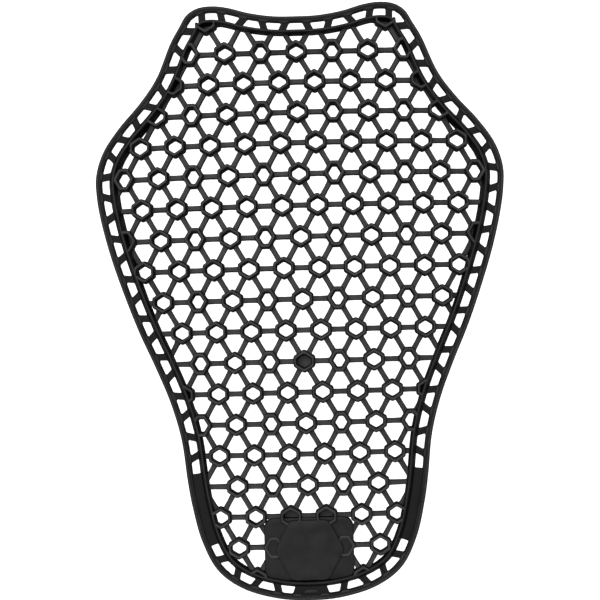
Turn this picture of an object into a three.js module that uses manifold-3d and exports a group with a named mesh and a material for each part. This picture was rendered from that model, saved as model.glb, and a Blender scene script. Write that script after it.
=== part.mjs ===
// Back protector: a one-piece moulded rubber shell, worn over the spine under sports clothes.
// An open net of hexagonal tubes and low ribs bulges up inside a raised lip, and the lip stands
// on a flat border flange with windows and a thick outer bead. A plain pad closes the foot end.
// Millimetres. X is the width, +Y points to the neck, +Z is the outer side, the flange lies at Z = 0.

import * as THREE from 'three';
import * as BufferGeometryUtils from 'three/addons/utils/BufferGeometryUtils.js';
import Module from 'manifold-3d';

const wasm = await Module();
wasm.setup();

// Overall sizes
const LENGTH = 441;
const WIDTH = 302;
const HALF_LENGTH = LENGTH / 2;
const HALF_WIDTH = WIDTH / 2;

// Border, measured inwards from the outline
const BEAD_WIDTH = 4.1;
const BEAD_HEIGHT = 4.6;
const FLANGE_THICKNESS = 3;
const LIP_OUTSIDE = 12.3;
const LIP_WIDTH = 3;
const LIP_INSIDE = LIP_OUTSIDE + LIP_WIDTH;
const WINDOW_MARGIN = 0.5;
const OUTLINE_STEPS = 60;

// Net
const CELL_PITCH = 25.85;
const ROW_PITCH = 22.8;
const ANCHOR_Y = -43.5;
const BULGE = 17;
const RIM_WIDTH = 15.4;
const RIM_LENGTH = 15;
const TALL_RIM_WIDTH = 14.6;
const TALL_RIM_LENGTH = 16.4;
const RIM_WALL = 2.4;
const TUBE_HEIGHT = 12.5;
const RIB_HEIGHT = 4.2;
const RIB_WIDTH = 3.4;
const RIB_END = RIM_WIDTH / 2 - RIM_WALL / 2;
const CELL_EDGE_LIMIT = LIP_OUTSIDE - 1.3;
const OPEN_DEPTH = 20;

// Pieces run past the shell's two faces by this much and are trimmed flush together
const OVER = 1;

// Border openings along one half of the border, from the middle of the neck to the foot.
// Bars stand at these counts of short windows from the neck, up to the closed stretch.
const NECK_BARS = [-1.5, 1.5, 5.5, 9.5, 13.5, 18.5, 23.5, 28.5];
const BAR_WIDTH = 4;
// Shares of the half border where the closed stretch starts and ends, and where the foot tab starts
const CLOSED_FROM = 0.758;
const CLOSED_TO = 0.836;
const FOOT_TAB = 0.983;

// Pad at the foot end
const PAD_Y = -181.5;
const PAD_WIDTH = 65;
const PAD_LENGTH = 46.6;
const PAD_CORNER = 10;
const PAD_TOP = RIB_HEIGHT + 0.45 * (TUBE_HEIGHT - RIB_HEIGHT);
const PLATE_TOP = TUBE_HEIGHT;
const PLATE_WIDTH = 51;
const PLATE_FLAT = 28;

// Half outline from the neck notch round the horn and the shoulder down to the foot,
// as shares of the half width and the half length.
const OUTLINE = [
  [0, 0.959],
  [0.11, 0.961],
  [0.23, 0.974],
  [0.33, 0.993],
  [0.41, 1],
  [0.484, 0.993],
  [0.536, 0.97],
  [0.57, 0.932],
  [0.614, 0.88],
  [0.69, 0.76],
  [0.774, 0.679],
  [0.879, 0.598],
  [0.96, 0.517],
  [0.997, 0.437],
  [0.996, 0.37],
  [0.98, 0.295],
  [0.938, 0.175],
  [0.882, 0.054],
  [0.806, -0.088],
  [0.73, -0.208],
  [0.661, -0.329],
  [0.614, -0.45],
  [0.589, -0.591],
  [0.57, -0.672],
  [0.526, -0.793],
  [0.45, -0.894],
  [0.33, -0.955],
  [0.16, -0.991],
  [0, -1],
];

// Bulge of the net over the spine, height of the tubes and lip, and spread of the cells across
// the back, by place along the length: share of the half length, then shares of BULGE,
// TUBE_HEIGHT and CELL_PITCH.
const PROFILE = [
  { at: -1, bulge: 0, height: 0.77, pitch: 1.01 },
  { at: -0.92, bulge: 0, height: 0.77, pitch: 1.01 },
  { at: -0.6, bulge: 0.4, height: 0.87, pitch: 1.004 },
  { at: -0.2, bulge: 0.7, height: 0.97, pitch: 0.99 },
  { at: 0.2, bulge: 0.92, height: 1, pitch: 0.999 },
  { at: 0.5, bulge: 1, height: 0.99, pitch: 1 },
  { at: 0.76, bulge: 0.46, height: 0.97, pitch: 1.01 },
  { at: 0.9, bulge: 0, height: 0.97, pitch: 1.025 },
  { at: 1, bulge: 0, height: 0.97, pitch: 1.025 },
];


function outlineCurve() {
  const right = OUTLINE.map(([x, y]) => new THREE.Vector3(x * HALF_WIDTH, y * HALF_LENGTH, 0));
  const left = OUTLINE.slice(1, -1).reverse().map(([x, y]) => {
    return new THREE.Vector3(-x * HALF_WIDTH, y * HALF_LENGTH, 0);
  });
  const curve = new THREE.CatmullRomCurve3([...right, ...left], true, 'centripetal');
  curve.arcLengthDivisions = 1200;
  return curve;
}

const EDGE = outlineCurve();
const EDGE_SAMPLES = EDGE.getSpacedPoints(6 * OUTLINE_STEPS).slice(1);
const EDGE_STEP = EDGE.getLength() / EDGE_SAMPLES.length;

// Point on the outline at a share of its whole length, moved inwards by a distance
function edgePoint(share, inset) {
  const t = ((share % 1) + 1) % 1;
  const point = EDGE.getPointAt(t);
  const along = EDGE.getTangentAt(t);
  return new THREE.Vector2(point.x + along.y * inset, point.y - along.x * inset);
}

function edgeLoop(inset) {
  const points = [];
  for (let k = 0; k < OUTLINE_STEPS; k += 1) {
    points.push(edgePoint(k / OUTLINE_STEPS, inset));
  }
  return points;
}

function distanceToEdge(x, y) {
  let best = Infinity;
  for (const point of EDGE_SAMPLES) {
    best = Math.min(best, Math.hypot(point.x - x, point.y - y));
  }
  return best;
}

function solid(geometry) {
  const bare = geometry.index ? geometry.toNonIndexed() : geometry.clone();
  bare.deleteAttribute('normal');
  bare.deleteAttribute('uv');
  const merged = BufferGeometryUtils.mergeVertices(bare, 1e-4);
  return new wasm.Manifold(new wasm.Mesh({
    numProp: 3,
    vertProperties: new Float32Array(merged.attributes.position.array),
    triVerts: new Uint32Array(merged.index.array),
  }));
}

function block(bottom, top) {
  const box = new THREE.BoxGeometry(2 * WIDTH, 2 * LENGTH, top - bottom);
  return solid(box.translate(0, 0, (bottom + top) / 2));
}

function slab(outline, bottom, top) {
  const shape = new THREE.Shape(outline);
  const geometry = new THREE.ExtrudeGeometry(shape, { depth: top - bottom, bevelEnabled: false });
  geometry.translate(0, 0, bottom);
  return solid(geometry);
}

function joined(list) {
  let queue = list;
  while (queue.length > 1) {
    const next = [];
    for (let k = 0; k < queue.length; k += 2) {
      next.push(k + 1 < queue.length ? queue[k].add(queue[k + 1]) : queue[k]);
    }
    queue = next;
  }
  return queue[0];
}

// Enough rows and columns, counted from the closed cell, to reach past the outline
const ROWS = Math.ceil(LENGTH / ROW_PITCH / 2) + Math.ceil(Math.abs(ANCHOR_Y) / ROW_PITCH);
const COLUMNS = Math.ceil(WIDTH / CELL_PITCH) + Math.ceil(ROWS / 2);

// Middle of a cell: columns are counted from the axis, half a cell out in every other row
function place(i, row) {
  const y = ANCHOR_Y - row * ROW_PITCH;
  const x = (i + row / 2) * CELL_PITCH * profileAt(y, 'pitch');
  return new THREE.Vector2(x, y);
}

function netSites() {
  const sites = new Map();
  for (let row = -ROWS; row <= ROWS; row += 1) {
    for (let i = -COLUMNS; i <= COLUMNS; i += 1) {
      const column = i + row / 2;
      const { x, y } = place(i, row);
      if (Math.abs(x) < HALF_WIDTH && Math.abs(y) < HALF_LENGTH && insideEdge(x, y)) {
        const tall = row % 2 === 0 && Math.abs(Math.round(column)) % 2 === 1;
        const depth = distanceToEdge(x, y);
        sites.set(`${i},${row}`, { i, row, x, y, tall, depth });
      }
    }
  }
  return sites;
}

function insideEdge(x, y) {
  let inside = false;
  for (let k = 0; k < EDGE_SAMPLES.length; k += 1) {
    const a = EDGE_SAMPLES[k];
    const b = EDGE_SAMPLES[(k + 1) % EDGE_SAMPLES.length];
    if ((a.y > y) !== (b.y > y) && x < a.x + ((y - a.y) * (b.x - a.x)) / (b.y - a.y)) {
      inside = !inside;
    }
  }
  return inside && distanceToEdge(x, y) > CELL_EDGE_LIMIT;
}

// Six-sided prism: corners towards +Y and -Y, or towards +X and -X when tall
function hexPrism(width, length, spread, tall, bottom, top) {
  const geometry = new THREE.CylinderGeometry(1, 1 + spread, top - bottom, 6);
  geometry.rotateX(Math.PI / 2);
  if (tall) {
    geometry.rotateZ(Math.PI / 2);
    geometry.scale(width / 2, length / Math.sqrt(3), 1);
  } else {
    geometry.scale(width / Math.sqrt(3), length / 2, 1);
  }
  geometry.translate(0, 0, (top + bottom) / 2);
  return geometry;
}

function rimSize(site) {
  return site.tall ? [TALL_RIM_WIDTH, TALL_RIM_LENGTH] : [RIM_WIDTH, RIM_LENGTH];
}

function tubeBody(site) {
  const [width, length] = rimSize(site);
  return solid(hexPrism(width, length, 0, site.tall, -OVER, TUBE_HEIGHT + OVER).translate(site.x, site.y, 0));
}

// A bore goes through the tube, or tapers to a point at the level of the ribs
function tubeBore(site, open) {
  const [width, length] = rimSize(site);
  const bottom = open ? -2 * OVER : RIB_HEIGHT;
  const spread = open ? 0 : -1;
  const top = TUBE_HEIGHT + (open ? OVER : 0);
  const bore = hexPrism(width - 2 * RIM_WALL, length - 2 * RIM_WALL, spread, site.tall, bottom, top);
  return solid(bore.translate(site.x, site.y, 0));
}

// The ribs run on every second line of the net in each of its three directions
function netRibs(sites) {
  const steps = [
    { di: 1, dr: 0, on: (i, row) => row % 2 === 0 },
    { di: 0, dr: 1, on: (i) => i % 2 === 0 },
    { di: -1, dr: 1, on: (i, row) => (i + row) % 2 === 0 },
  ];
  const ribs = [];
  for (let row = -ROWS; row <= ROWS; row += 1) {
    for (let i = -COLUMNS; i <= COLUMNS; i += 1) {
      for (const step of steps) {
        const here = sites.has(`${i},${row}`);
        const there = sites.has(`${i + step.di},${row + step.dr}`);
        if ((here || there) && step.on(i, row)) {
          ribs.push(rib(i, row, step));
        }
      }
    }
  }
  return ribs;
}

function rib(i, row, step) {
  const start = place(i, row);
  const reach = place(i + step.di, row + step.dr).sub(start);
  const long = reach.length();
  const w = RIB_WIDTH / 2;
  const roof = new THREE.Shape([
    new THREE.Vector2(-w, -OVER),
    new THREE.Vector2(w, -OVER),
    new THREE.Vector2(0, RIB_HEIGHT),
  ]);
  const depth = long - 2 * RIB_END;
  const bar = new THREE.ExtrudeGeometry(roof, { depth, bevelEnabled: false });
  bar.translate(0, 0, -depth / 2);
  bar.rotateX(Math.PI / 2);
  bar.rotateZ(reach.angle() - Math.PI / 2);
  bar.translate(start.x + reach.x / 2, start.y + reach.y / 2, 0);
  return solid(bar);
}

// Ring sector between two shares of the outline and two insets
function sector(from, to, insetA, insetB) {
  const outer = [];
  const inner = [];
  const steps = 3;
  for (let k = 0; k <= steps; k += 1) {
    const share = from + ((to - from) * k) / steps;
    outer.push(edgePoint(share, insetA));
    inner.push(edgePoint(share, insetB));
  }
  return [...outer, ...inner.reverse()];
}

function ring(outside, inside, top) {
  return slab(edgeLoop(outside), -OVER, top).subtract(slab(edgeLoop(inside), -2 * OVER, top + OVER));
}

function borderOpenings() {
  const gap = BAR_WIDTH / EDGE.getLength() / 2;
  const window = CLOSED_FROM / 2 / NECK_BARS[NECK_BARS.length - 1];
  const runs = NECK_BARS.slice(1).map((bar, k) => [NECK_BARS[k] * window, bar * window]);
  runs.push([CLOSED_TO / 2 - gap, FOOT_TAB / 2 + gap]);
  const cuts = [];
  runs.forEach(([from, to], k) => {
    cuts.push([from + gap, to - gap]);
    if (k > 0) {
      cuts.push([1 - to + gap, 1 - from - gap]);
    }
  });
  return cuts.map(([a, b]) => {
    const points = sector(a, b, BEAD_WIDTH + WINDOW_MARGIN, LIP_OUTSIDE - WINDOW_MARGIN);
    return slab(points, -2 * OVER, BEAD_HEIGHT + OVER);
  });
}

function border() {
  const flange = ring(BEAD_WIDTH / 2, LIP_OUTSIDE + LIP_WIDTH / 2, FLANGE_THICKNESS);
  const bead = ring(0, BEAD_WIDTH, BEAD_HEIGHT);
  const lip = ring(LIP_OUTSIDE, LIP_INSIDE, TUBE_HEIGHT + OVER);
  return joined([flange, bead, lip]).subtract(joined(borderOpenings()));
}

function roundedRectangle(width, length, corner) {
  const points = [];
  const steps = 4;
  const centres = [[1, 1], [-1, 1], [-1, -1], [1, -1]];
  centres.forEach(([sx, sy], quarter) => {
    for (let k = 0; k <= steps; k += 1) {
      const angle = ((quarter + k / steps) * Math.PI) / 2;
      points.push(new THREE.Vector2(
        sx * (width / 2 - corner) + corner * Math.cos(angle),
        PAD_Y + sy * (length / 2 - corner) + corner * Math.sin(angle),
      ));
    }
  });
  return points;
}

function pad() {
  const base = slab(roundedRectangle(PAD_WIDTH, PAD_LENGTH, PAD_CORNER), -OVER, PAD_TOP);
  const w = PLATE_WIDTH / 2;
  const f = PLATE_FLAT / 2;
  const l = PAD_LENGTH / 2;
  const corners = [[w, 0], [f, l], [-f, l], [-w, 0], [-f, -l], [f, -l]];
  const plate = slab(corners.map(([x, y]) => new THREE.Vector2(x, PAD_Y + y)), OVER, PLATE_TOP);
  return base.add(plate);
}

function onPad(site) {
  return Math.abs(site.x) < PAD_WIDTH / 2 - PAD_CORNER && Math.abs(site.y - PAD_Y) < PAD_LENGTH / 2 - 2;
}

function nearPad(site) {
  return Math.abs(site.x) < PAD_WIDTH / 2 && Math.abs(site.y - PAD_Y) < PAD_LENGTH;
}

function net() {
  const sites = netSites();
  const cells = [...sites.values()].filter((site) => !onPad(site));
  const inside = slab(edgeLoop(LIP_OUTSIDE + LIP_WIDTH / 2), -2 * OVER, TUBE_HEIGHT + 2 * OVER);
  const bodies = joined([...netRibs(sites), ...cells.map(tubeBody)]);
  return { cells, body: bodies.intersect(inside) };
}

function shell() {
  const { cells, body } = net();
  const bores = cells.map((cell) => {
    const closed = nearPad(cell) || (cell.i === 0 && cell.row === 0);
    const open = cell.i % 2 === 0 && cell.row % 2 === 0 && !closed && cell.depth > OPEN_DEPTH;
    return tubeBore(cell, open);
  });
  const insideLip = slab(edgeLoop(LIP_INSIDE), -3 * OVER, TUBE_HEIGHT + 3 * OVER);
  const cut = joined(bores).intersect(insideLip);
  const raw = joined([body, border(), pad()]);
  const above = block(TUBE_HEIGHT, TUBE_HEIGHT + 4 * OVER);
  const below = block(-4 * OVER, 0);
  return raw.subtract(above.add(below)).subtract(cut);
}

function profileAt(y, field) {
  const at = THREE.MathUtils.clamp(y / HALF_LENGTH, -1, 1);
  const next = Math.max(1, PROFILE.findIndex((row) => row.at >= at));
  const a = PROFILE[next - 1];
  const b = PROFILE[next];
  const share = THREE.MathUtils.smoothstep(at, a.at, b.at);
  return THREE.MathUtils.lerp(a[field], b[field], share);
}

// Half width of the net inside the lip
function netHalfWidth(y) {
  let widest = 0;
  for (const point of EDGE_SAMPLES) {
    if (Math.abs(point.y - y) < EDGE_STEP) {
      widest = Math.max(widest, point.x);
    }
  }
  return Math.max(widest - LIP_INSIDE, LIP_INSIDE);
}

// Bends the flat shell: bulges it over the spine and brings tubes and lip to their height
function bend(geometry) {
  const position = geometry.attributes.position;
  for (let k = 0; k < position.count; k += 1) {
    const x = position.getX(k);
    const y = position.getY(k);
    const z = position.getZ(k);
    const across = Math.min(1, Math.abs(x) / netHalfWidth(y));
    const bulge = BULGE * profileAt(y, 'bulge') * (1 - across * across);
    const rise = (TUBE_HEIGHT * profileAt(y, 'height') - RIB_HEIGHT) / (TUBE_HEIGHT - RIB_HEIGHT);
    const level = z > RIB_HEIGHT ? RIB_HEIGHT + (z - RIB_HEIGHT) * rise : z;
    position.setZ(k, level + bulge);
  }
  return geometry;
}

function meshFrom(name, manifold, material) {
  const data = manifold.getMesh();
  const geometry = new THREE.BufferGeometry();
  geometry.setAttribute('position', new THREE.Float32BufferAttribute(data.vertProperties, 3));
  geometry.setIndex(Array.from(data.triVerts));
  const mesh = new THREE.Mesh(bend(geometry), material);
  mesh.name = name;
  return mesh;
}

function rubber() {
  return new THREE.MeshStandardMaterial({ color: 0x1d1d1e, roughness: 0.62, metalness: 0 });
}

const backProtector = new THREE.Group();
backProtector.add(meshFrom('protector_shell', shell(), rubber()));

export default backProtector;
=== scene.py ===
"""Looks of a moulded rubber back protector: net of cells, raised lip, border and foot pad.

Everything is in metres in the part's own frame: X across the back, +Y to the neck, +Z outwards.
"""

import math

import bmesh
import bpy
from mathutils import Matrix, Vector


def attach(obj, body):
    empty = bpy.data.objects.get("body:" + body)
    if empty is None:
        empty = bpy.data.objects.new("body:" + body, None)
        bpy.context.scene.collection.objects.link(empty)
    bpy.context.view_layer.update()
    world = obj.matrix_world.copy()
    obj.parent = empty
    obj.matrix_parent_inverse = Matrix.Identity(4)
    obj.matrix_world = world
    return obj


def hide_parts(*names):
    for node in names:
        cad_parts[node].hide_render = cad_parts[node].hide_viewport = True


bl_info = {
    "name": "Back protector",
    "version": (1, 0, 0),
    "blender": (4, 5, 0),
    "location": "3D View > Sidebar > Protector",
    "description": "Builds the net shell, border and foot pad of a moulded back protector",
    "category": "Add Mesh",
}

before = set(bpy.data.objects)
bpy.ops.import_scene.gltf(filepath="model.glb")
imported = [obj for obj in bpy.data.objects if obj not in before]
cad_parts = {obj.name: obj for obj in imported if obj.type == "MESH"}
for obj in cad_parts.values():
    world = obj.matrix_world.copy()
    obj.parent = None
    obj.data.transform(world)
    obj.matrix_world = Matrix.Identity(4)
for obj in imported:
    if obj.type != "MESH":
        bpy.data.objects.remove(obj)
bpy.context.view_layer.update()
MM = 0.001

# Half outline from the neck notch round the horn and the shoulder down to the foot,
# as shares of the half width and the half length.
OUTLINE = [
    (0, 0.959), (0.11, 0.961), (0.23, 0.974), (0.33, 0.993), (0.41, 1), (0.484, 0.993),
    (0.536, 0.97), (0.57, 0.932), (0.614, 0.88), (0.69, 0.76), (0.774, 0.679),
    (0.879, 0.598), (0.96, 0.517), (0.997, 0.437), (0.996, 0.37), (0.98, 0.295),
    (0.938, 0.175), (0.882, 0.054), (0.806, -0.088), (0.73, -0.208), (0.661, -0.329),
    (0.614, -0.45), (0.589, -0.591), (0.57, -0.672), (0.526, -0.793), (0.45, -0.894),
    (0.33, -0.955), (0.16, -0.991), (0, -1),
]

# Share of the half length, then shares of the bulge, the tube height and the cell pitch
PROFILE = [
    (-1, 0, 0.77, 1.01), (-0.92, 0, 0.77, 1.01), (-0.6, 0.4, 0.87, 1.004),
    (-0.2, 0.7, 0.97, 0.99), (0.2, 0.92, 1, 0.999), (0.5, 1, 0.99, 1),
    (0.76, 0.46, 0.97, 1.01), (0.9, 0, 0.97, 1.025), (1, 0, 0.97, 1.025),
]

# Share of the half border from the neck to the foot, then in millimetres: outer side of the
# lip's top, and how far its outer and its inner wall spread at the foot
LIP_LINE = [
    (0, 10.9, 0.3, 0.2), (0.1, 11, 0.3, 0.3), (0.2, 11.8, 1.3, 1.1), (0.3, 12.3, 2.3, 1.7),
    (0.42, 12.3, 2.2, 1.6), (0.55, 12.3, 2, 0.3), (0.9, 12.3, 2, 0.2), (1, 12, 1.9, 0.2),
]

# Border, in millimetres: bars on an even pitch along a line inside the outline, then a closed
# stretch, then the bars of the foot windows and the foot tab. Bars turn about a line of their own.
SIDE_BARS = 28
BAR_PITCH = 15.65
BAR_START = 0.8
BAR_LINE = 6
BAR_PIVOT = 7
WINDOW_START = 4.7
CLOSED_FROM = 456
FOOT_BARS = (507, 523, 542, 559.5, 577, 592.5)
FOOT_LEANS = (0, -1, 1, -1, 1, -0.7)

# Bead's section as inset and height, and the run of a lug that swells it, in millimetres
BEAD_SECTION = [
    (0.45, 0), (0.1, 0.7), (0, 2.2), (0.15, 3.6), (0.6, 4.3), (1.2, 4.6), (1.9, 4.5),
    (2.4, 4.1), (2.7, 3.75), (2.95, 4.0), (3.3, 4.1), (3.7, 3.9), (4.05, 3.3), (4.35, 2.4),
    (4.45, 0),
]
LUG_RUN = [(-3.2, 0.2), (-2.2, 0.85), (0, 1), (2.2, 0.85), (3.2, 0.2)]

# Ribs start this far from the middle of a cell, and flare where they meet it
RIB_START = 6.4
RIB_PAST_LIP = 3
RIB_FLARE = ((0, 1.5), (0.12, 1.08), (0.5, 1), (0.88, 1.08), (1, 1.5))

# Foot pad, in millimetres: its middle along the spine, corner centres and radius, tops
PAD_MIDDLE = -181.5
PAD_CORNER = (25, 15.3)
PAD_RADIUS = 8
PAD_TOP = 7.9
PLATE_TOP = 12.8
PLATE_CORNERS = [
    (-14.5, 21.6), (14.5, 21.6), (25.6, -0.8), (13.5, -23.2), (-13.5, -23.2), (-25.6, -0.8),
]
TAB_CORNERS = [(-4, -212.1), (-6.4, -214.7), (6.4, -214.7), (4, -212.1)]

# Cells: half width, side corner, half length, corner radius and height share, ring by ring
POINTED_CELL = [
    (8.1, 3.9, 8.9, 2.0, 0), (7.5, 3.6, 8.2, 1.9, 0.88), (7.2, 3.45, 7.85, 1.8, 0.95),
    (6.8, 3.25, 7.4, 1.7, 0.99), (6.4, 2.9, 6.9, 1.6, 1), (6.0, 2.5, 6.25, 1.6, 0.98),
    (5.6, 2.1, 5.7, 1.6, 0.93), (4.9, 1.6, 4.65, 1.6, 0),
]
TALL_CELL = [
    (8.7, 3.3, 8.6, 1.8, 0), (8.0, 3.05, 8.1, 1.7, 0.88), (7.7, 2.95, 7.85, 1.6, 0.95),
    (7.2, 2.75, 7.4, 1.5, 0.99), (6.6, 2.5, 6.9, 1.3, 1), (5.95, 2.25, 6.3, 1.2, 0.98),
    (5.3, 1.95, 5.65, 1.1, 0.93), (4.3, 1.5, 4.5, 1.0, 0),
]


class ShellSizes(bpy.types.PropertyGroup):
    """Overall sizes of the shell"""

    length: bpy.props.FloatProperty(
        name="Length", description="Neck to foot", default=0.441, unit="LENGTH")
    width: bpy.props.FloatProperty(
        name="Width", description="Across the shoulders", default=0.302, unit="LENGTH")
    bulge: bpy.props.FloatProperty(
        name="Bulge", description="Rise of the net over the spine", default=0.017, unit="LENGTH")
    tube_height: bpy.props.FloatProperty(
        name="Tube height", description="Tallest cell tube", default=0.0125, unit="LENGTH")
    rib_height: bpy.props.FloatProperty(
        name="Rib height", description="Top of the ribs over the underside",
        default=0.0042, unit="LENGTH")


class NetSizes(bpy.types.PropertyGroup):
    """Cells and ribs of the net"""

    cell_pitch: bpy.props.FloatProperty(
        name="Cell pitch", description="Cell to cell in a row", default=0.02585, unit="LENGTH")
    row_pitch: bpy.props.FloatProperty(
        name="Row pitch", description="Row to row", default=0.0228, unit="LENGTH")
    anchor: bpy.props.FloatProperty(
        name="Middle cell", description="Place of the closed cell along the spine",
        default=-0.0435, unit="LENGTH")
    rib_width: bpy.props.FloatProperty(
        name="Rib width", description="Width of a rib at its foot", default=0.0039, unit="LENGTH")


class BorderSizes(bpy.types.PropertyGroup):
    """Border flange, bead and lip"""

    flange: bpy.props.FloatProperty(
        name="Flange thickness", description="Thickness of the border flange",
        default=0.0028, unit="LENGTH")
    bead_height: bpy.props.FloatProperty(
        name="Bead height", description="Height of the outer bead", default=0.0046, unit="LENGTH")
    bar_width: bpy.props.FloatProperty(
        name="Bar width", description="Width of the bars between windows",
        default=0.0052, unit="LENGTH")
    bar_lean: bpy.props.FloatProperty(
        name="Bar lean", description="Lean of the bars, alternately to either side",
        default=math.radians(23.5), subtype="ANGLE", unit="ROTATION")
    lip_width: bpy.props.FloatProperty(
        name="Lip width", description="Width of the raised lip", default=0.003, unit="LENGTH")


class RubberFinishAndPaintedShade(bpy.types.PropertyGroup):
    """Colour and surface of the rubber, with a far darker wall colour that is painted shade"""

    # Painted light and shade: the rubber colour goes on faces that look up and catch light from
    # above. The wall colour is the same rubber painted far darker on the steep walls, as painted
    # shade.
    colour: bpy.props.FloatVectorProperty(
        name="Rubber colour", description="Colour of the faces that look up",
        default=(0.04, 0.04, 0.041), size=3, min=0, max=1, subtype="COLOR")
    shade: bpy.props.FloatVectorProperty(
        name="Wall colour", description="Colour of the steep moulded walls",
        default=(0.0025, 0.0025, 0.0026), size=3, min=0, max=1, subtype="COLOR")
    roughness: bpy.props.FloatProperty(
        name="Roughness", description="Roughness of the moulded skin",
        default=0.5, min=0, max=1, subtype="FACTOR")


class StudioSettings(bpy.types.PropertyGroup):
    """Camera and light"""

    camera: bpy.props.FloatVectorProperty(
        name="Camera", description="Place of the camera",
        default=(0.0339, -0.0326, 1.2), size=3, subtype="XYZ", unit="LENGTH")
    shift: bpy.props.FloatVectorProperty(
        name="Shift", description="Shift of the lens that frames the object",
        default=(-0.0837, 0.075), size=2)
    lens: bpy.props.FloatProperty(
        name="Lens", description="Focal length in millimetres on a 36 mm sensor", default=97.2)
    roll: bpy.props.FloatProperty(
        name="Roll", description="Turn of the object in the picture",
        default=math.radians(1.58), subtype="ANGLE", unit="ROTATION")
    sky: bpy.props.FloatProperty(
        name="Room light", description="Strength of the even light all round", default=0.4)
    softbox: bpy.props.FloatProperty(
        name="Softbox", description="Power of the overhead softbox", default=26, unit="POWER")


def settings():
    return bpy.context.scene.protector


class ProtectorSettings(bpy.types.PropertyGroup):
    """All the sizes and finishes of the back protector"""

    shell: bpy.props.PointerProperty(type=ShellSizes)
    net: bpy.props.PointerProperty(type=NetSizes)
    border: bpy.props.PointerProperty(type=BorderSizes)
    rubber: bpy.props.PointerProperty(type=RubberFinishAndPaintedShade)
    studio: bpy.props.PointerProperty(type=StudioSettings)


def table_at(table, at, column=1):
    """Smooth value between the rows of a table that starts each row with its place."""
    if at <= table[0][0]:
        return table[0][column]
    for a, b in zip(table, table[1:]):
        if at <= b[0]:
            t = (at - a[0]) / (b[0] - a[0])
            t = t * t * (3 - 2 * t)
            return a[column] + (b[column] - a[column]) * t
    return table[-1][column]


class Outline:
    """The outer line of the shell, measured along its length and inwards from it"""

    def __init__(self, length, width):
        right = [Vector((x * width / 2, y * length / 2)) for x, y in OUTLINE]
        left = [Vector((-p.x, p.y)) for p in reversed(right[1:-1])]
        knots = right + left
        self.points = []
        for k in range(len(knots)):
            a, b, c, d = (knots[(k + j) % len(knots)] for j in (-1, 0, 1, 2))
            self.points += self.span(a, b, c, d)
        self.marks = [0]
        closed = self.points + self.points[:1]
        for p, q in zip(closed, closed[1:]):
            self.marks.append(self.marks[-1] + (q - p).length)
        self.total = self.marks[-1]
        count = len(self.points)
        self.along = [(self.points[(k + 1) % count] - self.points[k - 1]).normalized()
                      for k in range(count)]
        self.half_length = length / 2

    @staticmethod
    def span(a, b, c, d, steps=24):
        before, here, after = (math.sqrt((q - p).length) for p, q in ((a, b), (b, c), (c, d)))
        start = ((b - a) / before - (c - a) / (before + here) + (c - b) / here) * here
        end = ((c - b) / here - (d - b) / (here + after) + (d - c) / after) * here
        found = []
        for k in range(steps):
            t = k / steps
            found.append(b + start * t + (3 * (c - b) - 2 * start - end) * t ** 2
                         + (2 * (b - c) + start + end) * t ** 3)
        return found

    def at(self, share, inset=0):
        """Point at a share of the whole outline, moved inwards."""
        target = (share % 1) * self.total
        low, high = 0, len(self.points)
        while high - low > 1:
            middle = (low + high) // 2
            low, high = (middle, high) if self.marks[middle] <= target else (low, middle)
        t = (target - self.marks[low]) / (self.marks[low + 1] - self.marks[low])
        after = (low + 1) % len(self.points)
        point = self.points[low].lerp(self.points[after], t)
        along = self.along[low].lerp(self.along[after], t).normalized()
        return point + Vector((along.y, -along.x)) * inset

    def nearest(self, x, y):
        """Distance to the outline, and the share of the outline where it is nearest."""
        spot = Vector((x, y))
        k = min(range(len(self.points)), key=lambda j: (self.points[j] - spot).length_squared)
        return (self.points[k] - spot).length, self.marks[k] / self.total

    def holds(self, x, y):
        inside = False
        for a, b in zip(self.points, self.points[1:] + self.points[:1]):
            if (a.y > y) != (b.y > y) and x < a.x + (y - a.y) * (b.x - a.x) / (b.y - a.y):
                inside = not inside
        return inside

    def half_width(self, y):
        return max(p.x for p in self.points if abs(p.y - y) < 2 * MM)


def outline():
    shell = settings().shell
    return Outline(shell.length, shell.width)


def lip_outside(share, column=1):
    """Outer side of the lip's top, or with column 2 or 3 the spread of its outer or inner wall."""
    half = 2 * min(share % 1, 1 - share % 1)
    return table_at(LIP_LINE, half, column) * MM


def lip_middle(share):
    return lip_outside(share) + settings().border.lip_width / 2


class Form:
    """Bulge of the net and height of tubes and lip over the flat lattice"""

    def __init__(self, edge):
        self.edge = edge
        self.shell = settings().shell
        self.widths = {}

    def half_width(self, y):
        key = round(y, 3)
        if key not in self.widths:
            self.widths[key] = max(self.edge.half_width(key) - 15.3 * MM, 15.3 * MM)
        return self.widths[key]

    def bulge(self, x, y):
        share = table_at(PROFILE, y / self.edge.half_length)
        across = min(1, abs(x) / self.half_width(min(max(y, -0.2205), 0.2055)))
        return self.shell.bulge * share * (1 - across * across)

    def top(self, y):
        return self.shell.tube_height * table_at(PROFILE, y / self.edge.half_length, 2)

    def bend(self, verts):
        rib = self.shell.rib_height
        tall = self.shell.tube_height
        for vert in verts:
            x, y, z = vert.co
            if z > rib:
                z = rib + (z - rib) * (self.top(y) - rib) / (tall - rib)
            vert.co.z = z + self.bulge(x, y)


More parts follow.
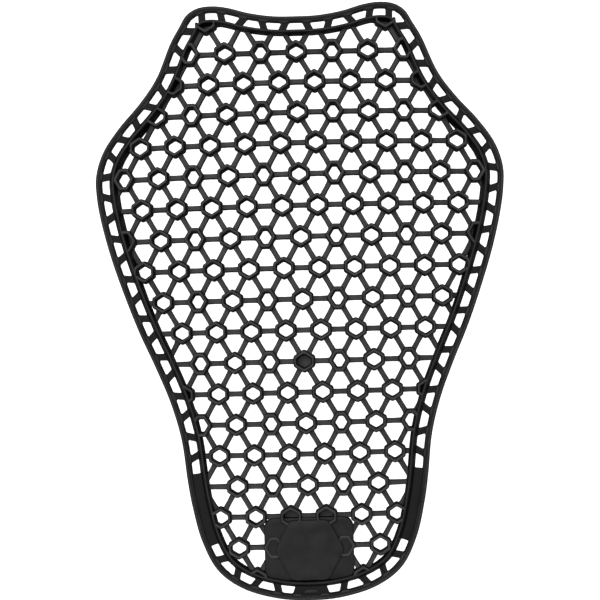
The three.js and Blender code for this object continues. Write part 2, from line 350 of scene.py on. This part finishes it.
def loft(bm, rings, section_closed=True, run_closed=False, capped=True):
    """Extrudes the first ring of points through all the others."""
    slot = bm.verts.layers.int.get("slot") or bm.verts.layers.int.new("slot")
    verts = [bm.verts.new(point) for point in rings[0]]
    for k, vert in enumerate(verts):
        vert[slot] = k
    pairs = list(zip(verts, verts[1:]))
    if section_closed:
        pairs.append((verts[-1], verts[0]))
    edges = [bm.edges.new(pair) for pair in pairs]
    first = edges
    made = list(verts)
    for ring in rings[1:]:
        grown = bmesh.ops.extrude_edge_only(bm, edges=edges)["geom"]
        edges = [g for g in grown if isinstance(g, bmesh.types.BMEdge)]
        new = [g for g in grown if isinstance(g, bmesh.types.BMVert)]
        for vert in new:
            vert.co = ring[vert[slot]]
        edges = [e for e in edges if all(v in new for v in e.verts)]
        made += new
    if run_closed:
        bmesh.ops.bridge_loops(bm, edges=first + edges)
    elif section_closed and capped:
        bmesh.ops.edgeloop_fill(bm, edges=first)
        bmesh.ops.edgeloop_fill(bm, edges=edges)
    return made


def finished(bm, name, material, sharp=38):
    """Turns a bmesh into a piece of the shell that rides on the part."""
    bmesh.ops.remove_doubles(bm, verts=bm.verts, dist=2e-6)
    bmesh.ops.recalc_face_normals(bm, faces=bm.faces)
    for face in bm.faces:
        face.smooth = True
    mesh = bpy.data.meshes.new(name)
    bm.to_mesh(mesh)
    bm.free()
    mesh.set_sharp_from_angle(angle=math.radians(sharp))
    piece = bpy.data.objects.new(name, mesh)
    bpy.context.scene.collection.objects.link(piece)
    mesh.materials.append(material)
    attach(piece, "root")
    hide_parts("protector_shell")
    return piece


def rounded_corners(corners, radius):
    """Three points for each corner of a closed outline."""
    points = []
    count = len(corners)
    for k in range(count):
        before, here, after = (Vector(corners[(k + j) % count]) for j in (-1, 0, 1))
        into = (before - here).normalized()
        out = (after - here).normalized()
        half = into.angle(out) / 2
        reach = min(radius / math.tan(half), (before - here).length * 0.45)
        bisector = (into + out).normalized()
        bow = reach * math.tan(half)
        centre = here + bisector * (bow / math.sin(half))
        points += [here + into * reach, centre - bisector * bow, here + out * reach]
    return points


def cell_ring(row, tall, height, offset=0):
    """One ring of a cell's wall, pointed along Y, or with flats along X where tall."""
    half_width, side, half_length, radius, level = row
    a, s, b = half_width, side, half_length
    if tall:
        corners = [(s, b), (a, 0), (s, -b), (-s, -b), (-a, 0), (-s, b)]
    else:
        corners = [(0, b), (a, s), (a, -s), (0, -b), (-a, -s), (-a, s)]
    points = rounded_corners([Vector(c) * MM for c in corners], radius * MM)
    return [Vector((p.x, p.y, level * height + offset)) for p in points]


def cell_prototype(bm, tall, closed, height):
    """A tube with a rounded rim; a closed one has a floor inside."""
    rows = TALL_CELL if tall else POINTED_CELL
    rings = [cell_ring(row, tall, height) for row in rows]
    if closed:
        rings[-1] = cell_ring(rows[-1], tall, height, 0.8 * MM)
    return loft(bm, rings, run_closed=not closed, capped=closed)


def place(i, row):
    """Middle of a cell, with columns counted from the axis."""
    net = settings().net
    y = net.anchor - row * net.row_pitch
    spread = table_at(PROFILE, 2 * y / settings().shell.length, 3)
    return Vector(((i + row / 2) * net.cell_pitch * spread, y))


def net_sites(edge):
    """Places of the net's cells: column and row, place, kind, depth inside the outline."""
    sites = {}
    for row in range(-14, 12):
        for i in range(-16, 17):
            column = i + row / 2
            x, y = place(i, row)
            if abs(x) > edge.half_length or not edge.holds(x, y):
                continue
            depth, share = edge.nearest(x, y)
            if depth > lip_outside(share) - 1.3 * MM:
                tall = row % 2 == 0 and abs(round(column)) % 2 == 1
                sites[i, row] = (x, y, tall, depth, share)
    return sites


def on_pad(x, y):
    return abs(x) < 28 * MM and y < -160 * MM


def near_pad(x, y):
    return abs(x) < 30 * MM and y < -145 * MM


def trim_at_lip(bm, geom, edge, x, y):
    """Cuts away what reaches past the middle of the lip."""
    share = edge.nearest(x, y)[1]
    outer = edge.at(share)
    inner = edge.at(share, lip_middle(share))
    away = (outer - inner).normalized()
    cut = bmesh.ops.bisect_plane(
        bm, geom=geom, plane_co=(inner.x, inner.y, 0), plane_no=(away.x, away.y, 0),
        clear_outer=True)
    edges = [g for g in cut["geom_cut"] if isinstance(g, bmesh.types.BMEdge) and g.is_valid]
    if edges:
        bmesh.ops.holes_fill(bm, edges=edges, sides=0)


def build_tubes():
    edge = outline()
    form = Form(edge)
    height = settings().shell.tube_height
    bm = bmesh.new()
    kinds = {}
    for tall in (False, True):
        for closed in (False, True):
            verts = cell_prototype(bm, tall, closed, height)
            kinds[tall, closed] = verts
    originals = {}
    for key, verts in kinds.items():
        faces = {f for v in verts for f in v.link_faces}
        edges = {e for v in verts for e in v.link_edges}
        originals[key] = list(verts) + list(edges) + list(faces)
    for (i, row), (x, y, tall, depth, share) in net_sites(edge).items():
        relief = on_pad(x, y)
        if relief and abs(x) < 20 * MM:
            continue
        inner = lip_outside(share) + settings().border.lip_width
        closed = not relief and (
            (i, row) == (0, 0) or depth < inner + 1.5 * MM or near_pad(x, y))
        copy = bmesh.ops.duplicate(bm, geom=originals[tall, closed])["geom"]
        verts = [g for g in copy if isinstance(g, bmesh.types.BMVert)]
        if relief:
            bmesh.ops.scale(bm, vec=(1, 1, 0.78), verts=verts)
        bmesh.ops.translate(bm, vec=(x, y, 0), verts=verts)
        if depth < inner + 8 * MM:
            trim_at_lip(bm, copy, edge, x, y)
    for geom in originals.values():
        bmesh.ops.delete(bm, geom=[g for g in geom if isinstance(g, bmesh.types.BMVert)],
                         context="VERTS")
    form.bend(bm.verts)
    return finished(bm, "net_tubes", rubber("net_rubber"))


def rib_section(width, height):
    w = width / 2
    return [(-w, 0), (-w * 0.88, height - 0.5 * MM), (-w * 0.66, height), (w * 0.66, height),
            (w * 0.88, height - 0.5 * MM), (w, 0)]


def beyond_lip(edge, point):
    depth, share = edge.nearest(*point)
    return depth < lip_middle(share) or not edge.holds(*point)


def build_ribs():
    edge = outline()
    form = Form(edge)
    net = settings().net
    height = settings().shell.rib_height
    sites = net_sites(edge)
    bm = bmesh.new()
    for row in range(-15, 13):
        for i in range(-17, 18):
            for di, dr in ((1, 0), (0, 1), (-1, 1)):
                ends = [(i, row), (i + di, row + dr)]
                if not any(end in sites for end in ends):
                    continue
                a, b = (place(*end) for end in ends)
                if on_pad(*a) and on_pad(*b):
                    continue
                along = (b - a).normalized()
                across = Vector((-along.y, along.x))
                start = a + along * (RIB_START if ends[0] in sites else -RIB_PAST_LIP) * MM
                end = b - along * (RIB_START if ends[1] in sites else -RIB_PAST_LIP) * MM
                rings = []
                for t, flare in RIB_FLARE:
                    spot = start.lerp(end, t)
                    rings.append([
                        Vector((*(spot + across * s), z))
                        for s, z in rib_section(net.rib_width * flare, height)])
                verts = loft(bm, rings)
                outer = [p for p, key in zip((a, b), ends) if key not in sites]
                if outer:
                    faces = {f for v in verts for f in v.link_faces}
                    edges = {e for v in verts for e in v.link_edges}
                    inside = a if ends[0] in sites else b
                    reach = next((t / 40 for t in range(41) if beyond_lip(
                        edge, inside.lerp(outer[0], t / 40))), 1)
                    spot = inside.lerp(outer[0], reach)
                    trim_at_lip(bm, verts + list(edges) + list(faces), edge, *spot)
    form.bend(bm.verts)
    return finished(bm, "net_ribs", rubber("net_rubber"))


def ring_along(edge, section, steps):
    """Sweeps a section of (inset, height) points round the whole outline."""
    rings = []
    for k in range(steps):
        share = k / steps
        rings.append([
            Vector((*edge.at(share, inset), z)) for inset, z in section(share)])
    return rings


def build_bead():
    edge = outline()
    top = settings().border.bead_height

    def section(share):
        return [(inset * MM, z * top / 4.6) for inset, z in BEAD_SECTION]

    bm = bmesh.new()
    loft(bm, ring_along(edge, section, 300), run_closed=True)
    for share, side in bar_lines(edge):
        if side:
            lug(bm, edge, share)
    return finished(bm, "outer_bead", rubber("border_rubber"))


def lug(bm, edge, share):
    """Low swelling of the bead where a bar runs into it."""
    rings = []
    for at, wide in LUG_RUN:
        spot = share + at * MM / edge.total
        rows = [(3.4, 0.4), (3.4, 3.9), (4.1, 3.9), (4.4 + 0.6 * wide, 3.3), (4.5 + wide, 0.4)]
        rings.append([Vector((*edge.at(spot, inset * MM), z * MM)) for inset, z in rows])
    loft(bm, rings)


def build_lip():
    edge = outline()
    form = Form(edge)
    width = settings().border.lip_width

    def section(share):
        outside = lip_outside(share)
        top = form.top(edge.at(share).y)
        spread = lip_outside(share, 2) / width * 3
        inner = 3.2 + lip_outside(share, 3) / width * 3
        rows = [(-spread, 0, 0), (-spread * 0.8, 0, 3.2), (0.3, 1, -1.9), (0.6, 1, -0.9),
                (1.0, 1, -0.25), (1.4, 1, 0), (1.85, 1, 0), (2.2, 1, -0.3), (2.55, 1, -1),
                (2.85, 1, -2), (inner, 0, 0)]
        return [(outside + across * width / 3, share_up * top + up * MM)
                for across, share_up, up in rows]

    bm = bmesh.new()
    loft(bm, ring_along(edge, section, 300), run_closed=True)
    return finished(bm, "raised_lip", rubber("border_rubber"))


def bar_lines(edge):
    """Shares of the outline where each bar stands, with the side it leans to, clockwise."""
    marks, line = [0], [edge.at(k / 2400, BAR_LINE * MM) for k in range(1201)]
    for p, q in zip(line, line[1:]):
        marks.append(marks[-1] + (q - p).length)
    half = []
    k = 0
    for bar in range(SIDE_BARS):
        target = (BAR_PITCH * (bar + 0.5) + BAR_START) * MM
        while marks[k + 1] < target:
            k += 1
        half.append(((k + (target - marks[k]) / (marks[k + 1] - marks[k])) / 2400,
                     -1 if bar % 2 == 0 else 1))
    half.append((CLOSED_FROM * MM / edge.total, 0))
    half += [(at * MM / edge.total, side) for at, side in zip(FOOT_BARS, FOOT_LEANS)]
    return half + [(1 - at, -side) for at, side in reversed(half)]


def build_flange():
    edge = outline()
    border = settings().border
    margin = border.bar_width / 2
    lean = math.tan(border.bar_lean)
    bars = bar_lines(edge)
    steps = 4

    def spot(share, side, inset):
        at = share + side * lean * (BAR_PIVOT * MM - inset) / edge.total
        return Vector((*edge.at(at, inset), border.flange))

    def pair(share, side):
        inner = lip_outside(share) - lip_outside(share, 2) + margin
        return [spot(share, side, WINDOW_START * MM - margin), spot(share, side, inner)]

    rings = []
    for (a, side_a), (b, side_b) in zip(bars, bars[1:] + bars[:1]):
        b += b < a
        for k in range(steps):
            t = k / steps
            rings.append(pair(a + (b - a) * t, side_a + (side_b - side_a) * t))
    bm = bmesh.new()
    loft(bm, rings + rings[:1], section_closed=False)
    bmesh.ops.remove_doubles(bm, verts=bm.verts, dist=1e-6)
    kept = [pair(*bar)[0] for bar in bars]
    cross = [e for e in bm.edges if len(e.link_faces) == 2]
    spare = [e for e in cross if not any(
        (v.co - here).length < 1e-6 for v in e.verts for here in kept)]
    bmesh.ops.dissolve_edges(bm, edges=spare, use_verts=False)
    window = bm.faces.layers.int.new("window")
    closed = [edge.at(0.5 * (CLOSED_FROM + FOOT_BARS[0]) * MM / edge.total, 8 * MM),
              edge.at(0.5, 8 * MM)]
    cells = []
    for face in bm.faces:
        middle = face.calc_center_median()
        near = Vector((abs(middle.x), middle.y))
        if all((near - here).length > 9 * MM for here in closed) and face.calc_area() > 2e-5:
            face[window] = 1
            cells.append(face)
    sides = bmesh.ops.inset_individual(
        bm, faces=cells, thickness=margin, use_even_offset=True)["faces"]
    for face in sides:
        face[window] = 0
    corners = {loop.vert for face in bm.faces if face[window] == 1
               for loop in face.loops if loop.calc_angle() < math.radians(150)}
    bmesh.ops.bevel(bm, geom=list(corners), offset=0.8 * MM, offset_type="OFFSET",
                    affect="VERTICES", segments=3, profile=0.5, material=-1)
    open_faces = [f for f in bm.faces if f[window] == 1 and f.calc_area() > 8 * MM * MM]
    bmesh.ops.delete(bm, geom=open_faces, context="FACES")
    grown = bmesh.ops.extrude_face_region(bm, geom=bm.faces[:])["geom"]
    bmesh.ops.translate(bm, vec=(0, 0, -border.flange),
                        verts=[g for g in grown if isinstance(g, bmesh.types.BMVert)])
    bmesh.ops.recalc_face_normals(bm, faces=bm.faces)
    rims = [e for e in bm.edges if e.is_manifold and all(
        v.co.z > border.flange - 1e-6 for v in e.verts)
        and e.calc_face_angle(0) > math.radians(60)]
    bmesh.ops.bevel(bm, geom=rims, offset=0.35 * MM, offset_type="OFFSET", affect="EDGES",
                    segments=2, profile=0.5, material=-1, clamp_overlap=True)
    # The flange's material is painted darker, as painted shade.
    return finished(bm, "border_flange", rubber("flange_rubber_painted_shade"))


def slab(bm, points, bottom, top, edge_round=0.8):
    """Flat block of an outline with rounded top edges."""
    centre = sum(points, Vector((0, 0))) / len(points)
    rings = []
    for shrink, z in ((0, bottom), (0.2, top - edge_round), (0.45, top - edge_round * 0.35),
                      (0.45 + edge_round * 0.7, top)):
        ring = []
        for p in points:
            inward = (centre - p).normalized() * shrink * MM
            ring.append(Vector((*(p + inward), z * MM)))
        rings.append(ring)
    return loft(bm, rings)


def build_pad():
    bm = bmesh.new()
    across, long = PAD_CORNER
    base = []
    for sx, sy, start in ((1, 1, 0), (-1, 1, 90), (-1, -1, 180), (1, -1, 270)):
        for k in range(7):
            angle = math.radians(start + 15 * k)
            base.append(Vector((
                (sx * across - 0.4 + PAD_RADIUS * math.cos(angle)) * MM,
                (PAD_MIDDLE + sy * long + PAD_RADIUS * math.sin(angle)) * MM)))
    slab(bm, base, 0, PAD_TOP)
    plate = rounded_corners(
        [Vector((x, y + PAD_MIDDLE)) * MM for x, y in PLATE_CORNERS], 5 * MM)
    slab(bm, plate, 5, PLATE_TOP, 0.5)
    slab(bm, [Vector(spot) * MM for spot in TAB_CORNERS], 2, 3.6, 0.3)
    cuts = [((0, -0.2045 + 0.0055 * k, 0), (0, 1, 0)) for k in range(1, 9)]
    cuts += [((x, 0, 0), (1, 0, 0)) for x in (-0.018, -0.006, 0.006, 0.018)]
    for spot, facing in cuts:
        bmesh.ops.bisect_plane(bm, geom=bm.verts[:] + bm.edges[:] + bm.faces[:],
                               plane_co=spot, plane_no=facing)
    Form(outline()).bend(bm.verts)
    return finished(bm, "foot_pad", rubber("pad_rubber"))


def group_tree(name, inputs, outputs):
    tree = bpy.data.node_groups.new(name, "ShaderNodeTree")
    for label, kind, value in inputs:
        socket = tree.interface.new_socket(label, in_out="INPUT", socket_type=kind)
        socket.default_value = value
    for label, kind in outputs:
        tree.interface.new_socket(label, in_out="OUTPUT", socket_type=kind)
    return tree, tree.nodes.new("NodeGroupInput"), tree.nodes.new("NodeGroupOutput")


def moulded_skin_and_painted_shade():
    """Node group: colour mottling and relief of moulded rubber skin, with painted light and shade:
    faces that look up are lighter and the steep walls are painted darker.
    """
    if "moulded_skin_and_painted_shade" in bpy.data.node_groups:
        return bpy.data.node_groups["moulded_skin_and_painted_shade"]
    tree, given, out = group_tree(
        "moulded_skin_and_painted_shade",
        [("Top", "NodeSocketColor", (0.03, 0.03, 0.03, 1)),
         ("Wall", "NodeSocketColor", (0.01, 0.01, 0.01, 1)),
         ("Roughness", "NodeSocketFloat", 0.5),
         ("Grain", "NodeSocketFloat", 1600)],
        [("Color", "NodeSocketColor"), ("Roughness", "NodeSocketFloat"),
         ("Height", "NodeSocketFloat")])
    nodes, links = tree.nodes, tree.links
    place = nodes.new("ShaderNodeTexCoord")
    shape = nodes.new("ShaderNodeNewGeometry")
    split = nodes.new("ShaderNodeSeparateXYZ")
    links.new(shape.outputs["Normal"], split.inputs[0])
    # Painted light and shade: faces that look up get the Top colour, and steep walls get the Wall
    # colour, which is painted shade. The two are blended by the height of the normal.
    facing = nodes.new("ShaderNodeMapRange")
    facing.interpolation_type = "SMOOTHSTEP"
    facing.inputs["From Min"].default_value = 0.15
    facing.inputs["From Max"].default_value = 0.9
    links.new(split.outputs["Z"], facing.inputs["Value"])
    mix = nodes.new("ShaderNodeMix")
    mix.data_type = "RGBA"
    links.new(facing.outputs["Result"], mix.inputs["Factor"])
    links.new(given.outputs["Wall"], mix.inputs["A"])
    links.new(given.outputs["Top"], mix.inputs["B"])
    cloud = nodes.new("ShaderNodeTexNoise")
    cloud.inputs["Scale"].default_value = 90
    cloud.inputs["Detail"].default_value = 5
    links.new(place.outputs["Object"], cloud.inputs["Vector"])
    spread = nodes.new("ShaderNodeMapRange")
    spread.inputs["From Min"].default_value = 0.3
    spread.inputs["From Max"].default_value = 0.7
    spread.inputs["To Min"].default_value = 0.78
    spread.inputs["To Max"].default_value = 1.22
    links.new(cloud.outputs["Fac"], spread.inputs["Value"])
    # Random mottling of the rubber, multiplied over the painted light and shade
    tone_and_painted_shade = nodes.new("ShaderNodeMix")
    tone_and_painted_shade.data_type = "RGBA"
    tone_and_painted_shade.blend_type = "MULTIPLY"
    tone_and_painted_shade.inputs["Factor"].default_value = 1
    links.new(mix.outputs["Result"], tone_and_painted_shade.inputs["A"])
    links.new(spread.outputs["Result"], tone_and_painted_shade.inputs["B"])
    links.new(tone_and_painted_shade.outputs["Result"], out.inputs["Color"])
    rough = nodes.new("ShaderNodeMath")
    rough.operation = "MULTIPLY_ADD"
    rough.inputs[1].default_value = 0.16
    links.new(cloud.outputs["Fac"], rough.inputs[0])
    links.new(given.outputs["Roughness"], rough.inputs[2])
    links.new(rough.outputs[0], out.inputs["Roughness"])
    grain = nodes.new("ShaderNodeTexNoise")
    grain.inputs["Detail"].default_value = 3
    links.new(place.outputs["Object"], grain.inputs["Vector"])
    links.new(given.outputs["Grain"], grain.inputs["Scale"])
    pits = nodes.new("ShaderNodeTexVoronoi")
    pits.inputs["Scale"].default_value = 700
    links.new(place.outputs["Object"], pits.inputs["Vector"])
    relief = nodes.new("ShaderNodeMath")
    relief.operation = "MULTIPLY_ADD"
    relief.inputs[1].default_value = 0.35
    links.new(pits.outputs["Distance"], relief.inputs[0])
    links.new(grain.outputs["Fac"], relief.inputs[2])
    links.new(relief.outputs[0], out.inputs["Height"])
    return tree


def rubber(name):
    """Near-black matt rubber; each part of the shell is set darker or lighter and has its own
    grain, and the flange's darkening is painted shade.
    """
    if name in bpy.data.materials:
        return bpy.data.materials[name]
    finish_and_painted_shade = settings().rubber
    # The first column darkens both colours. The flange's 0.27 is painted shade, as if the flange
    # lay in shadow. The border and pad are set at 0.55 of the net.
    tone_and_painted_shade, grain, gloss, shine = {
        "net_rubber": (1.0, 1700, 0.0, 0.25),
        "border_rubber": (0.55, 1300, 0.02, 0.25),
        "flange_rubber_painted_shade": (0.27, 1300, 0.02, 0.1),
        "pad_rubber": (0.55, 1000, 0.06, 0.12),
    }[name]
    material = bpy.data.materials.new(name)
    material.use_nodes = True
    nodes, links = material.node_tree.nodes, material.node_tree.links
    shader = nodes["Principled BSDF"]
    shader.inputs["Specular IOR Level"].default_value = shine
    skin = nodes.new("ShaderNodeGroup")
    skin.node_tree = moulded_skin_and_painted_shade()
    skin.inputs["Top"].default_value = (*(c * tone_and_painted_shade for c in finish_and_painted_shade.colour), 1)
    skin.inputs["Wall"].default_value = (*(c * tone_and_painted_shade for c in finish_and_painted_shade.shade), 1)
    skin.inputs["Roughness"].default_value = finish_and_painted_shade.roughness - gloss
    skin.inputs["Grain"].default_value = grain
    bump = nodes.new("ShaderNodeBump")
    bump.inputs["Strength"].default_value = 0.35
    bump.inputs["Distance"].default_value = 0.00012
    links.new(skin.outputs["Color"], shader.inputs["Base Color"])
    links.new(skin.outputs["Roughness"], shader.inputs["Roughness"])
    links.new(skin.outputs["Height"], bump.inputs["Height"])
    links.new(bump.outputs["Normal"], shader.inputs["Normal"])
    return material


def build_floor():
    bm = bmesh.new()
    bmesh.ops.create_grid(bm, x_segments=2, y_segments=2, size=6)
    mesh = bpy.data.meshes.new("floor")
    bm.to_mesh(mesh)
    bm.free()
    floor = bpy.data.objects.new("floor", mesh)
    bpy.context.scene.collection.objects.link(floor)
    material = bpy.data.materials.new("white_floor")
    material.use_nodes = True
    nodes, links = material.node_tree.nodes, material.node_tree.links
    shader = nodes["Principled BSDF"]
    shader.inputs["Base Color"].default_value = (0.3, 0.3, 0.3, 1)
    shader.inputs["Roughness"].default_value = 0.9
    shader.inputs["Emission Color"].default_value = (1, 1, 1, 1)
    path = nodes.new("ShaderNodeLightPath")
    glow = nodes.new("ShaderNodeMath")
    glow.operation = "MULTIPLY"
    glow.inputs[1].default_value = 1.2
    links.new(path.outputs["Is Camera Ray"], glow.inputs[0])
    links.new(glow.outputs[0], shader.inputs["Emission Strength"])
    mesh.materials.append(material)


def build_light():
    studio = settings().studio
    world = bpy.data.worlds.new("studio_room")
    world.use_nodes = True
    background = world.node_tree.nodes["Background"]
    background.inputs["Color"].default_value = (1, 1, 1, 1)
    background.inputs["Strength"].default_value = studio.sky
    bpy.context.scene.world = world
    data = bpy.data.lights.new("softbox", "AREA")
    data.shape = "RECTANGLE"
    data.size = 1.4
    data.size_y = 1.4
    data.energy = studio.softbox
    light = bpy.data.objects.new("softbox", data)
    light.location = (-0.25, 0.35, 1.9)
    aim = Vector((0, 0, 0)) - light.location
    light.rotation_mode = "QUATERNION"
    light.rotation_quaternion = aim.to_track_quat("-Z", "Y")
    bpy.context.scene.collection.objects.link(light)
    bpy.context.scene.view_settings.view_transform = "Standard"


def build_camera():
    studio = settings().studio
    data = bpy.data.cameras.new("camera")
    data.sensor_width = 36
    data.lens = studio.lens
    data.shift_x, data.shift_y = studio.shift
    camera = bpy.data.objects.new("camera", data)
    camera.location = studio.camera
    camera.rotation_euler = (0, 0, -studio.roll)
    bpy.context.scene.collection.objects.link(camera)
    bpy.context.scene.camera = camera


class PROTECTOR_OT_flange(bpy.types.Operator):
    """Flat border flange with its windows"""

    bl_idname = "protector.flange"
    bl_label = "Border flange"

    def execute(self, context):
        build_flange()
        return {"FINISHED"}


class PROTECTOR_OT_bead(bpy.types.Operator):
    """Thick outer bead with a groove along it"""

    bl_idname = "protector.bead"
    bl_label = "Outer bead"

    def execute(self, context):
        build_bead()
        return {"FINISHED"}


class PROTECTOR_OT_lip(bpy.types.Operator):
    """Raised lip round the net"""

    bl_idname = "protector.lip"
    bl_label = "Raised lip"

    def execute(self, context):
        build_lip()
        return {"FINISHED"}


class PROTECTOR_OT_tubes(bpy.types.Operator):
    """Hexagonal cell tubes of the net"""

    bl_idname = "protector.tubes"
    bl_label = "Net tubes"

    def execute(self, context):
        build_tubes()
        return {"FINISHED"}


class PROTECTOR_OT_ribs(bpy.types.Operator):
    """Ribs between the cells"""

    bl_idname = "protector.ribs"
    bl_label = "Net ribs"

    def execute(self, context):
        build_ribs()
        return {"FINISHED"}


class PROTECTOR_OT_pad(bpy.types.Operator):
    """Plain pad at the foot end"""

    bl_idname = "protector.pad"
    bl_label = "Foot pad"

    def execute(self, context):
        build_pad()
        return {"FINISHED"}


class PROTECTOR_OT_studio(bpy.types.Operator):
    """White floor, soft light and camera"""

    bl_idname = "protector.studio"
    bl_label = "Studio"

    def execute(self, context):
        build_floor()
        build_light()
        build_camera()
        return {"FINISHED"}


OPERATORS = (
    PROTECTOR_OT_flange, PROTECTOR_OT_bead, PROTECTOR_OT_lip, PROTECTOR_OT_tubes,
    PROTECTOR_OT_ribs, PROTECTOR_OT_pad, PROTECTOR_OT_studio,
)


class PROTECTOR_PT_panel(bpy.types.Panel):
    """Lists the pieces of the back protector"""

    bl_label = "Back protector"
    bl_idname = "PROTECTOR_PT_panel"
    bl_space_type = "VIEW_3D"
    bl_region_type = "UI"
    bl_category = "Protector"

    def draw(self, context):
        for operator in OPERATORS:
            self.layout.operator(operator.bl_idname)


CLASSES = (
    ShellSizes, NetSizes, BorderSizes, RubberFinishAndPaintedShade, StudioSettings, ProtectorSettings,
    *OPERATORS, PROTECTOR_PT_panel,
)


def register():
    for cls in CLASSES:
        bpy.utils.register_class(cls)
    bpy.types.Scene.protector = bpy.props.PointerProperty(type=ProtectorSettings)


def unregister():
    del bpy.types.Scene.protector
    for cls in reversed(CLASSES):
        bpy.utils.unregister_class(cls)


def main():
    register()
    bpy.ops.protector.flange()
    bpy.ops.protector.bead()
    bpy.ops.protector.lip()
    bpy.ops.protector.tubes()
    bpy.ops.protector.ribs()
    bpy.ops.protector.pad()
    bpy.ops.protector.studio()


if __name__ == "__main__":
    main()
